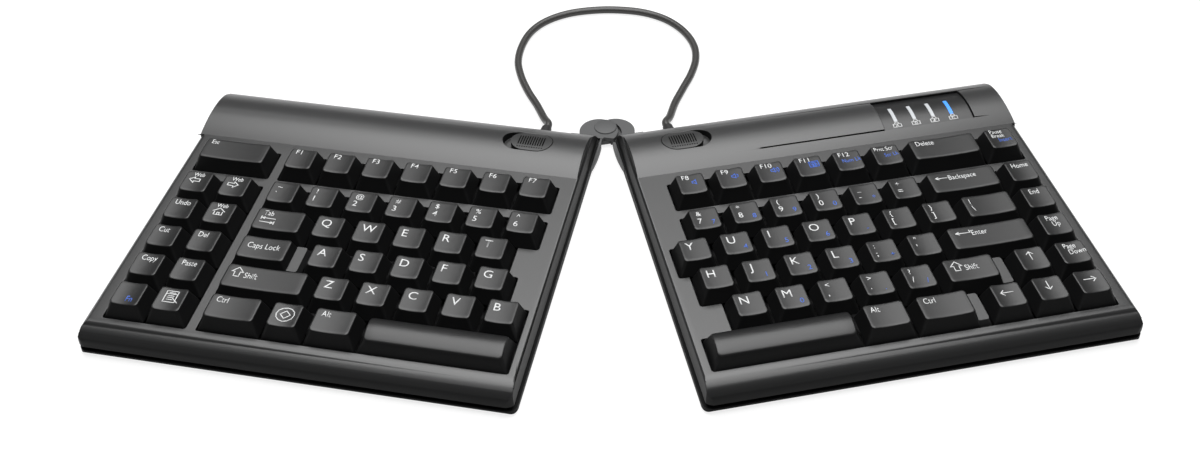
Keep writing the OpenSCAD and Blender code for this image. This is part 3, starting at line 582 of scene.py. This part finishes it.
def keycap(width, crowned=False):
    """A cap as one closed skin of rings: up the sloped side, over the rounded edge, in across the dish, and
    from the skirt's rim up inside to the roof, in to the stem and down it."""
    round_r, round_in = 0.6, 0.8
    lean = np.array([0, 0.5, 1 - round_r / (cap_top_z - skirt_z)])
    a = np.radians([22.5, 45, 67.5, 90])
    inset = round_in * (1 - np.cos(a))
    top_t = lean[-1]
    t = np.r_[lean, np.full(4, top_t)]
    cut = np.r_[0, 0, 0, inset]
    drop = np.r_[0, 0, 0, round_r * (1 - np.sin(a))]
    x, y = cap_rings(
        width / 2 - side_lean * t - cut,
        -cap_depth / 2 + front_lean * t + cut,
        cap_depth / 2 - back_lean * t - cut,
        cap_corner * (1 + t) - 0.3 * cut,
    )
    edge = dish(x[2:3], y[2:3], width, crowned)
    side_z = skirt_z + (edge - round_r - skirt_z) * (lean / top_t)[:, None]
    z = np.vstack([side_z, dish(x[3:], y[3:], width, crowned) - drop[3:, None]])
    q = np.array([0.86, 0.66, 0.44, 0.2])[:, None]
    middle = (y[-1].max() + y[-1].min()) / 2
    x_in, y_in = x[-1] * q, middle + (y[-1] - middle) * q
    z_in = dish(x_in, y_in, width, crowned)
    outer = np.stack([np.vstack([x, x_in]), np.vstack([y, y_in]), np.vstack([z, z_in])], -1)
    roof = roof_z - (1 if crowned else 0)
    xi, yi = cap_rings(
        [width / 2 - cap_wall, width / 2 - 3.6, stem_half, stem_half],
        [-cap_depth / 2 + cap_wall, -cap_depth / 2 + 3.8, -stem_half, -stem_half],
        [cap_depth / 2 - cap_wall, cap_depth / 2 - 2.8, stem_half, stem_half],
        [0.6, 0.8, 0.4, 0.4],
    )
    zi = np.array([skirt_z, roof, roof, stem_z])[:, None] + 0 * xi
    inner = np.stack([xi, yi, zi], -1)[::-1]
    rings = np.concatenate([inner, outer])
    rows, columns = rings.shape[:2]
    top = [[0, middle, dish(np.zeros(1), np.full(1, middle), width, crowned)[0]]]
    points = np.vstack([rings.reshape(-1, 3), [[0, 0, stem_z]], top])
    return points, ring_faces(rows, columns) + fan_ends(rows, columns)


def step_slab(right):
    """The low part of a stepped cap, from inside its raised part out to the key's right edge: a closed shell
    of rings, from the roof inside down to the skirt's rim and up the sloped side to a flat top."""
    roof_t, tuck, inset = 1.2, 2.8, 0.12
    rise = np.array([0, 0.9, 1.0])
    lean = rise * (step_z - skirt_z) / (cap_top_z - skirt_z)
    half, middle = (quarter + tuck) / 2, right - (quarter + tuck) / 2
    x, y = cap_rings(
        half - np.r_[1.8 * cap_wall, cap_wall, side_lean * lean],
        -cap_depth / 2 + inset + np.r_[2 * cap_wall, cap_wall, front_lean * lean],
        cap_depth / 2 - inset - np.r_[1.8 * cap_wall, cap_wall, back_lean * lean],
        np.r_[0.7, 0.7, cap_corner + 0.3 * rise],
    )
    z = np.r_[step_z - roof_t, skirt_z, skirt_z + (step_z - skirt_z) * rise][:, None] + 0 * x
    rows, columns = z.shape
    closing = [list(range(columns))[::-1], [(rows - 1) * columns + i for i in range(columns)]]
    return np.stack([x + middle, y, z], -1).reshape(-1, 3), ring_faces(rows, columns) + closing


def cap_size(units, kind):
    """Width of a key's raised cap and the shift of its middle, in mm: a step takes a quarter unit."""
    step = quarter if kind == "step" else 0
    return units * pitch - cap_gap - step, -step / 2


for name, (side, places) in keys.items():
    skins = []
    for column, row, units, kind in places:
        width, shift = cap_size(units, kind)
        skin, skin_faces = keycap(width, kind == "bar")
        skins.append((on_key(side, column, row, skin + [shift, 0, 0]), skin_faces))
        if kind == "step":
            slab, slab_faces = step_slab((units * pitch - cap_gap) / 2)
            slab = on_key(side, column, row, slab)
            step = put_mesh(name + "_step", slab, slab_faces, step_smooth_painted_sheen, sharp=crease)
            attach(step, name + "_body")
    caps = put_mesh(name + "_caps", *joined(skins), cap_black, sharp=crease)
    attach(caps, name + "_body")
    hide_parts(name)

# Key legends
# White and blue marks printed on the caps: the letters, numbers and signs of a common layout, and outline
# icons on the hot keys. The ink is thin, so each mark lies just above its cap's dished top.
ink_white = grained("ink_white", (0.72, 0.73, 0.73), 0.5, spread=0.08, scale=3000, depth=0.05)
ink_blue = grained("ink_blue", (0.06, 0.15, 0.6), 0.5, spread=0.12, scale=3000, depth=0.05)


def lettering(words):
    """The filled outlines of each word in the built-in font, as points and faces on a cap height of 1, with
    the word's left edge at 0."""
    holders = {}
    for word in words:
        curve = bpy.data.curves.new("lettering", "FONT")
        curve.body, curve.resolution_u = word, 3
        holders[word] = bpy.data.objects.new("lettering", curve)
        bpy.context.scene.collection.objects.link(holders[word])
    graph = bpy.context.evaluated_depsgraph_get()
    shapes = {}
    for word, holder in holders.items():
        mesh = bpy.data.meshes.new_from_object(holder.evaluated_get(graph))
        points = np.empty(3 * len(mesh.vertices))
        mesh.vertices.foreach_get("co", points)
        points = points.reshape(-1, 3)[:, :2]
        up = sum(face.normal.z for face in mesh.polygons) > 0
        faces = [list(face.vertices)[:: 1 if up else -1] for face in mesh.polygons]
        shapes[word] = points - [points[:, 0].min(), 0], faces
        bpy.data.meshes.remove(mesh)
    for holder in holders.values():
        curve = holder.data
        bpy.data.objects.remove(holder)
        bpy.data.curves.remove(curve)
    cap_height = shapes["H"][0][:, 1].max()
    return {word: (points / cap_height, faces) for word, (points, faces) in shapes.items()}


def strokes(lines, width):
    """An icon's lines as flat bars: each segment is a rectangle of the stroke's width, carried half of that
    past both ends."""
    a = np.vstack([np.asarray(line, float)[:-1] for line in lines])
    b = np.vstack([np.asarray(line, float)[1:] for line in lines])
    along = (b - a) / np.linalg.norm(b - a, axis=1)[:, None] * width / 2
    across = along[:, ::-1] * [-1, 1]
    corners = np.stack([a - along - across, b + along - across, b + along + across, a - along + across], 1)
    return corners.reshape(-1, 2), np.arange(4 * len(a)).reshape(-1, 4).tolist()


def bow(x, y, radius, first, last):
    """Points of a circle's arc between two angles in degrees."""
    a = np.radians(np.linspace(first, last, 13))
    return np.stack([x + radius * np.cos(a), y + radius * np.sin(a)], 1)


speaker = [(0, 0.33), (0.22, 0.33), (0.55, 0.05), (0.55, 0.95), (0.22, 0.67), (0, 0.67), (0, 0.33)]
block_arrow = np.array(
    [(0, 0.5), (0.55, 1), (0.55, 0.72), (1.25, 0.72), (1.25, 0.28), (0.55, 0.28), (0.55, 0), (0, 0.5)]
)
raised_arrow = [(0.5, 1), (0, 0.5), (0.27, 0.5), (0.27, 0), (0.73, 0), (0.73, 0.5), (1, 0.5), (0.5, 1)]
icons = {
    "to_left": [[(0, 0.5), (1.3, 0.5)], [(0.35, 0.85), (0, 0.5), (0.35, 0.15)]],
    "to_right": [[(0, 0.5), (1.3, 0.5)], [(0.95, 0.85), (1.3, 0.5), (0.95, 0.15)]],
    "to_top": [[(0.35, 0), (0.35, 1)], [(0.05, 0.7), (0.35, 1), (0.65, 0.7)]],
    "to_bottom": [[(0.35, 0), (0.35, 1)], [(0.05, 0.3), (0.35, 0), (0.65, 0.3)]],
    "raise": [raised_arrow],
    "tabs": [
        [(0, 0.6), (0, 1)], [(0.1, 0.8), (1.5, 0.8)], [(0.35, 0.93), (0.1, 0.8), (0.35, 0.67)],
        [(1.5, 0), (1.5, 0.4)], [(0, 0.2), (1.4, 0.2)], [(1.15, 0.33), (1.4, 0.2), (1.15, 0.07)],
    ],
    "hook": [[(2.0, 0.95), (2.0, 0.5), (0, 0.5)], [(0.45, 0.75), (0, 0.5), (0.45, 0.25)]],
    "long_left": [[(0, 0.5), (1.7, 0.5)], [(0.45, 0.75), (0, 0.5), (0.45, 0.25)]],
    "house": [
        [(0, 0.5), (0.6, 1), (1.2, 0.5)], [(0.18, 0.45), (0.18, 0), (1.02, 0), (1.02, 0.45)],
        [(0.48, 0), (0.48, 0.35), (0.72, 0.35), (0.72, 0)],
    ],
    "page_back": [block_arrow],
    "page_on": [block_arrow * [-1, 1] + [1.25, 0]],
    "menu": [
        [(0, 0), (0.8, 0), (0.8, 1), (0, 1), (0, 0)], [(0.2, 0.86), (0.6, 0.86)], [(0, 0.74), (0.8, 0.74)],
        [(0.2, 0.58), (0.6, 0.58)], [(0.2, 0.42), (0.6, 0.42)], [(0.2, 0.24), (0.6, 0.24)],
        [(0.55, 0.4), (1.0, 0)],
    ],
    "system": [bow(0.5, 0.5, 0.5, 0, 360), [(0.5, 0.78), (0.78, 0.5), (0.5, 0.22), (0.22, 0.5), (0.5, 0.78)]],
    "quiet": [speaker],
    "low": [speaker, bow(0.5, 0.5, 0.4, -45, 45)],
    "loud": [speaker, bow(0.5, 0.5, 0.38, -45, 45), bow(0.5, 0.5, 0.65, -45, 45)],
    "sums": [
        [(0, 0), (1.2, 0), (1.2, 1), (0, 1), (0, 0)], [(0.2, 0.8), (1.0, 0.8)], [(0.2, 0.5), (1.0, 0.5)],
        [(0.2, 0.22), (1.0, 0.22)], [(0.45, 0), (0.45, 0.65)], [(0.78, 0), (0.78, 0.65)],
    ],
}


def letter(sign, blue=""):
    """A letter key's marks: (word or icon, left, top, height, width scale, ink), in mm on the cap's top."""
    return [(sign, 2.5, 2.3, 4.5, 0.95, ink_white)] + pad_mark(blue)


def pair(upper, lower, blue=""):
    """A number or sign key's marks, the shifted one above the plain one."""
    return [(upper, 2.8, 1.9, 2.9, 0.95, ink_white), (lower, 2.6, 6.6, 3.4, 0.95, ink_white)] + pad_mark(blue)


def pad_mark(blue):
    """The small blue mark low on the right of a key that belongs to the number pad layer."""
    return [(blue, 8.8, 8.4, 2.9, 0.9, ink_blue)] if blue else []


def word(name, left=2.6, top=1.5, height=3.2, ink=None):
    """A word in narrow lettering."""
    return (name, left, top, height, 0.72, ink or ink_white)


def upper_mark(name, blue=None, left=6.8, top=4.2, height=3.5):
    """A function key's name with a blue word or icon below it."""
    below = [(blue, left, top, height, 0.95, ink_blue)] if blue else []
    return [(name, 2.6, 0.8, 3.0, 0.9, ink_white)] + below


legends = {
    "esc_key": [[word("Esc", 2.8, 0.9, 2.8)]],
    "left_function_keys": [upper_mark(f"F{i}") for i in range(1, 8)],
    "hot_keys": [
        [word("Web", 3.4, 0.7, 2.6), ("page_back", 2.6, 3.9, 4.0, 1, ink_white)],
        [word("Web", 3.4, 0.7, 2.6), ("page_on", 2.6, 3.9, 4.0, 1, ink_white)],
        [word("Undo")],
        [word("Web", 3.4, 0.7, 2.6), ("house", 2.9, 3.7, 4.6, 1, ink_white)],
        [word("Cut")], [word("Del")], [word("Copy")], [word("Paste")],
        [word("Fn", 6.3, 8.3, 3.3, ink_blue)],
        [("menu", 3.4, 2.2, 6.6, 1, ink_white)],
    ],
    "left_number_keys": [pair(*two) for two in ("~`", "!1", "@2", "#3", "$4", "%5", "^6")],
    "tab_key": [[word("Tab", 3, 1.5, 3), ("tabs", 2.8, 5.6, 4.4, 1, ink_white)]],
    "left_upper_keys": [letter(sign) for sign in "QWERT"],
    "caps_lock_key": [[word("Caps Lock", 3.2, 4.0, 3.4)]],
    "left_home_keys": [letter(sign) for sign in "ASDFG"],
    "left_shift_key": [[("raise", 2.6, 1.7, 5.6, 0.95, ink_white), word("Shift", 8.8, 4.3, 3.3)]],
    "left_lower_keys": [letter(sign) for sign in "ZXCVB"],
    "left_ctrl_key": [[word("Ctrl")]],
    "system_key": [[("system", 2.3, 2.7, 8.0, 1, ink_white)]],
    "left_alt_key": [[word("Alt")]],
    "right_function_keys": [
        upper_mark("F8", "quiet"), upper_mark("F9", "low"), upper_mark("F10", "loud"),
        upper_mark("F11", "sums", 6.6, 4.0, 3.8),
        [*upper_mark("F12"), word("Num Lk", 3.4, 5.4, 2.6, ink_blue)],
        [word("Prnt Scr", 1.4, 1.0, 2.7), word("Scr Lk", 5.2, 5.6, 2.5, ink_blue)],
        [word("Pause", 2.4, 0.6, 2.6), word("Break", 2.4, 3.7, 2.6), word("Insert", 5.0, 6.9, 2.6, ink_blue)],
    ],
    "delete_key": [[word("Delete", 3.0, 1.2, 3.2)]],
    "right_number_keys": [
        pair("&", "7", "7"), pair("*", "8", "8"), pair("(", "9", "9"), pair(")", "0", "0"),
        pair("_", "-", "*"), pair("+", "="),
    ],
    "backspace_key": [[("long_left", 3.0, 2.6, 3.4, 1, ink_white), word("Backspace", 9.4, 2.8, 3.1)]],
    "navigation_keys": [
        [word("Home", 2.8, 1.6, 3.1)], [word("End", 3.6, 1.6, 3.1)],
        [word("Page", 3.4, 1.4, 3.0), word("Up", 5.2, 5.2, 3.0)],
        [word("Page", 3.4, 1.4, 3.0), word("Down", 4.6, 5.2, 3.0)],
    ],
    "right_upper_keys": [
        letter("Y"), letter("U", "4"), letter("I", "5"), letter("O", "6"), letter("P", "-"),
        pair("{", "["), pair("}", "]"),
    ],
    "backslash_key": [pair("|", "\\")],
    "right_home_keys": [
        letter("H"), letter("J", "1"), letter("K", "2"), letter("L", "3"),
        pair(":", ";", "+"), pair('"', "'"),
    ],
    "enter_key": [[("hook", 3.0, 2.4, 3.4, 1, ink_white), word("Enter", 10.4, 2.8, 3.2)]],
    "right_lower_keys": [
        letter("N"), letter("M", "0"), pair("<", ","), pair(">", ".", "."), pair("?", "/", "/")
    ],
    "right_shift_key": [[("raise", 2.6, 1.7, 5.6, 0.95, ink_white), word("Shift", 8.8, 4.3, 3.3)]],
    "arrow_keys": [
        [("to_top", 4.4, 2.6, 5.0, 1, ink_white)], [("to_left", 3.4, 3.4, 4.2, 1, ink_white)],
        [("to_bottom", 4.4, 2.6, 5.0, 1, ink_white)], [("to_right", 3.4, 3.4, 4.2, 1, ink_white)],
    ],
    "right_alt_key": [[word("Alt")]],
    "right_ctrl_key": [[word("Ctrl")]],
}
ink_lift, ink_depth, icon_stroke = 0.045, 0.07, 0.42


def inked(piece):
    """Gives flat marks the ink's thickness, down from their outer face."""
    layer = piece.modifiers.new("ink_depth", "SOLIDIFY")
    layer.thickness, layer.offset = ink_depth * mm, -1
    return piece


signs = {mark[0] for rows in legends.values() for marks in rows for mark in marks} - set(icons)
letters = lettering(sorted(signs | {"H"}))
for name, rows in legends.items():
    side, places = keys[name]
    for ink in (ink_white, ink_blue):
        printed = []
        for (column, row, units, kind), marks in zip(places, rows):
            width, shift = cap_size(units, kind)
            for what, left, top, height, squeeze, _ in [mark for mark in marks if mark[5] == ink]:
                drawn = strokes(icons[what], icon_stroke / height) if what in icons else letters[what]
                flat, mark_faces = drawn
                x = left - width / 2 + side_lean + flat[:, 0] * height * squeeze
                y = cap_depth / 2 - back_lean - top - height + flat[:, 1] * height
                z = dish(x, y, width, False) + ink_lift
                printed.append((on_key(side, column, row, np.stack([x + shift, y, z], 1)), mark_faces))
        if printed:
            marks = inked(put_mesh(f"{name}_{ink.name}", *joined(printed), ink))
            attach(marks, name + "_body")

# Release sliders
# An oval button in each hump slides outwards in its recess to free the tether. It is moulded in the
# cover's plastic, with grip ribs and a row of dots on top, and a steel hairpin leaf pushes it back.
slider_charcoal = grained(
    "slider_charcoal",
    (0.012, 0.0122, 0.0124),
    0.5,
    scale=3600,
    depth=0.4,
    polish=(1.52, 0.42),
    Specular_IOR_Level=0.2,
)
hump_v, hump_z, hump_radius = 153.695, -15.1, 35.0
slider_round, rib_radius, rib_count = 0.3, 0.3, 11
rib_first, rib_last, rib_v, rib_reach, rib_swell = 22.4, 34.4, 157.3, 3.4, 0.25
dot_v = (151.9, 152.3)
# The grip ribs and dots are the slider's own plastic; their near-black, dull colour is painted shade along
# the ribs.
rib_painted_shade = grained("rib_painted_shade", (0.003, 0.003, 0.003), 0.6, scale=3600, depth=0.3, Specular_IOR_Level=0.05)


def on_hump(side, u, v, radius):
    """Points on the rear hump: at a place in the module, the height of a circle about the hump's axis."""
    z = hump_z + np.sqrt(radius**2 - (np.asarray(v) - hump_v) ** 2)
    x, y = on_module(side, np.asarray(u, float) + 0 * z, np.asarray(v, float) + 0 * z)
    return np.stack([x, y, z * mm], 1)


for side, sign in (("left", -1), ("right", 1)):
    moulded(side + "_release_slider", slider_round * mm, slider_charcoal)
    raised = []
    for k, u in enumerate(np.linspace(rib_first, rib_last, rib_count)):
        reach = rib_reach + rib_swell * math.sin(math.pi * k / (rib_count - 1))
        for v0, v1 in ((rib_v - reach, rib_v + reach), dot_v):
            raised.append(tube(on_hump(sign, u, np.linspace(v0, v1, 7), hump_radius), rib_radius * mm, 6))
    ribs = put_mesh(side + "_slider_ribs", *joined(raised), rib_painted_shade)
    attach(ribs, side + "_slider_body")
    leaf = moulded(side + "_slider_spring", 0, zinc_steel)
    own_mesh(leaf)

# Status window
# A sunk panel of grey plastic in the right hump, printed with four icons. Four light pipes of clear
# plastic stand in it, and the last one is lit blue.
panel_charcoal = grained(
    "panel_charcoal",
    (0.009, 0.0092, 0.0096),
    0.4,
    scale=5200,
    depth=0.15,
    polish=(1.5, 0.35),
    Specular_IOR_Level=0.2,
)
panel_round, panel_sunk = 0.15, 1.3
moulded("status_window", panel_round * mm, panel_charcoal)
panel_radius = hump_radius - panel_sunk
pipe_u, pipe_step, pipe_v = 133.81, 9.6, 153.9
sign_left, sign_v, sign_width, sign_height, sign_stroke = 2.0, 145.3, 3.5, 3.0, 0.11
lock = [
    [(0, 0), (1.15, 0), (1.15, 0.62), (0, 0.62), (0, 0)],
    [(0.25, 0.68), (0.4, 1), (0.75, 1), (0.9, 0.68)],
]
inner_marks = [
    [(0.4, 0.12), (0.575, 0.5), (0.75, 0.12)],
    bow(0.575, 0.31, 0.17, 0, 360),
    [(0.575, 0.5), (0.575, 0.12), (0.4, 0.3), (0.75, 0.3)],
    [(0.4, 0.12), (0.4, 0.5), (0.75, 0.3)],
]
printed = []
for k, inner in enumerate(inner_marks):
    flat, mark_faces = strokes(lock + [inner], sign_stroke)
    u = pipe_u + k * pipe_step - sign_left + flat[:, 0] * sign_width
    v = sign_v + flat[:, 1] * sign_height
    printed.append((on_hump(1, u, v, panel_radius + ink_lift), mark_faces))
panel_print = inked(put_mesh("status_window_print", *joined(printed), ink_white))
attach(panel_print, "right_module")

pipe_clear = grained("pipe_clear", (0.5, 0.52, 0.54), 0.3, spread=0.05, scale=900, depth=0.03)
tree = pipe_clear.node_tree
place = node(tree, "ShaderNodeTexCoord").outputs["Object"]
lit_x = on_module(1, pipe_u + 2.5 * pipe_step, pipe_v)[0]
across = node(tree, "ShaderNodeSeparateXYZ", {"Vector": place}).outputs["X"]
lit = node(tree, "ShaderNodeMath", {0: across, 1: lit_x}, operation="GREATER_THAN").outputs[0]
shader = tree.nodes["Principled BSDF"]
plain = shader.inputs["Base Color"].links[0].from_socket
tint = node(tree, "ShaderNodeMix", {0: lit, 6: plain, 7: (0.06, 0.26, 0.8, 1)}, data_type="RGBA")
tree.links.new(tint.outputs[2], shader.inputs["Base Color"])
glow = node(tree, "ShaderNodeMix", {0: lit, 6: (0, 0, 0, 1), 7: (0.04, 0.2, 0.75, 1)}, data_type="RGBA")
tree.links.new(glow.outputs[2], shader.inputs["Emission Color"])
shader.inputs["Emission Strength"].default_value = 0.6
finish_node("status_light_pipes", pipe_clear)

# Swivel tether
# Two flat arms of grey plastic wrap the inner rear corners, and their discs turn on one steel pin.
# A low round boss on the upper disc covers the pin.
tether_round = 0.3
tether_grey = grained("tether_grey", (0.07, 0.071, 0.072), 0.55, scale=5200, depth=0.3)
for side in ("left", "right"):
    moulded(f"tether_{side}_arm", tether_round * mm, tether_grey)
finish_node("tether_pivot_pin", zinc_steel)
arm_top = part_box("tether_left_arm")[1][2] / mm
boss_x, boss_sides, boss_crease = -0.8, 48, 50
boss_profile = [(5.6, arm_top - 0.3), (5.6, arm_top + 0.4), (5.5, arm_top + 0.52), (5.3, arm_top + 0.6)]
boss, boss_faces = turned(boss_profile, boss_sides)
boss = boss * mm + [boss_x * mm, pin_y, 0]
pin_boss = put_mesh("tether_pin_boss", boss, boss_faces, tether_grey, sharp=boss_crease)
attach(pin_boss, "left_module")

# Strain reliefs
# Soft black boots hold the link cable where it leaves each case, so that it can't kink or pull out.
# The gland in the right case's rear wall does the same for the host cable.
boot_black = grained("boot_black", (0.014, 0.014, 0.014), 0.6, scale=3000, depth=0.3)
for name in ("left_cable_grommet", "right_cable_grommet", "host_cable_gland"):
    finish_node(name, boot_black)

# Floor and light
# A plain white floor keeps the soft shadow and fades to grey far out.
# One broad lamp hangs overhead, and the room around it is dim and even.
floor_half, floor_z = 6.0, -0.0002
white_to, grey_from, white_glow, grey_glow = 0.7, 1.5, 0.82, 0.1
room_glow = 0.08
floor_paint = bpy.data.materials.new("floor_paint")
floor_paint.use_nodes = True
tree = floor_paint.node_tree
paint = tree.nodes["Principled BSDF"]
paint.inputs["Base Color"].default_value = (0.26, 0.26, 0.26, 1)
paint.inputs["Roughness"].default_value = 0.9
paint.inputs["Specular IOR Level"].default_value = 0.0
path = node(tree, "ShaderNodeLightPath").outputs
seen = node(tree, "ShaderNodeMath", {0: path["Is Camera Ray"], 1: path["Is Glossy Ray"]}, operation="MAXIMUM")
seen = node(tree, "ShaderNodeMath", {0: seen.outputs[0], 1: path["Is Transmission Ray"]}, operation="MAXIMUM")
place = node(tree, "ShaderNodeTexCoord").outputs["Object"]
away = node(tree, "ShaderNodeVectorMath", {0: place}, operation="LENGTH").outputs["Value"]
near = node(
    tree,
    "ShaderNodeMapRange",
    {"Value": away, "From Min": white_to, "From Max": grey_from, "To Min": white_glow, "To Max": grey_glow},
    interpolation_type="SMOOTHSTEP",
)
lift = node(tree, "ShaderNodeMath", {0: seen.outputs[0], 1: near.outputs[0]}, operation="MULTIPLY")
paint.inputs["Emission Strength"].default_value = 1.0
tree.links.new(lift.outputs[0], paint.inputs["Emission Color"])
corners = [[x * floor_half, y * floor_half, floor_z] for x, y in ((-1, -1), (1, -1), (1, 1), (-1, 1))]
floor = put_mesh("floor", corners, [(0, 1, 2, 3)], floor_paint)

world = bpy.data.worlds.new("studio")
world.use_nodes = True
bpy.context.scene.world = world
tree = world.node_tree
tree.nodes["Background"].inputs["Color"].default_value = (1, 1, 1, 1)
tree.nodes["Background"].inputs["Strength"].default_value = room_glow


def soft_box(name, place, aim, size, watts):
    """A rectangular lamp at a place, turned to face a point."""
    lamp = bpy.data.lights.new(name, "AREA")
    lamp.shape, lamp.size, lamp.size_y, lamp.energy = "RECTANGLE", *size, watts
    box = bpy.data.objects.new(name, lamp)
    away = Vector(place) - Vector(aim)
    box.matrix_world = Matrix.Translation(place) @ away.to_track_quat("Z", "Y").to_matrix().to_4x4()
    bpy.context.scene.collection.objects.link(box)


soft_box("overhead_box", (0, 0.27, 1.1), (0, 0.24, 0), (1.15, 1.6), 26)
